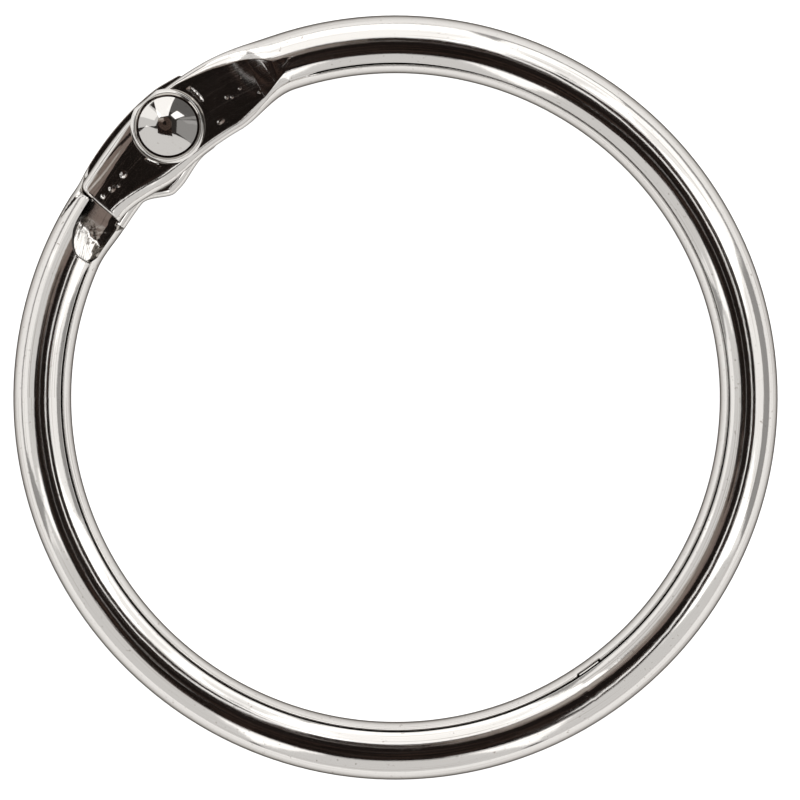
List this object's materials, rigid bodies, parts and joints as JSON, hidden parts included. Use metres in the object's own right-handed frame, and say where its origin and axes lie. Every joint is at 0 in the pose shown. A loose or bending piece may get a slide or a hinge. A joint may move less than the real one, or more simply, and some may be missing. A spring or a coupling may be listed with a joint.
{
  "type": "binder ring",
  "caption": "Hinged snap ring of bright metal tube that threads punched sheets and closes into a plain loop.",
  "frame": {"origin": "centre of the ring, on the surface that it lies on", "axes": "+Z along the ring's axis, up through the rivet's domed head; +X and +Y in the ring's plane, with the rivet at 130 degrees from +X towards +Y"},
  "size_m": [0.0224, 0.0224, 0.0021],
  "materials": {
    "front_half": "bright nickel plating over rolled steel strip",
    "rear_half": "bright nickel plating over rolled steel strip",
    "rivet": "bright nickel plating over turned steel"
  },
  "bodies": {
    "front_half": {"front_half_ring": "front_half", "hinge_rivet": "rivet"},
    "rear_half": {"rear_half_ring": "rear_half"}
  },
  "joints": [
    {"name": "hinge_swing", "type": "hinge", "parent": "front_half", "child": "rear_half", "pos_m": [-0.00665, 0.00793, 0.00085], "axis": [0, 0, -1], "range_deg": [0, 90]}
  ]
}
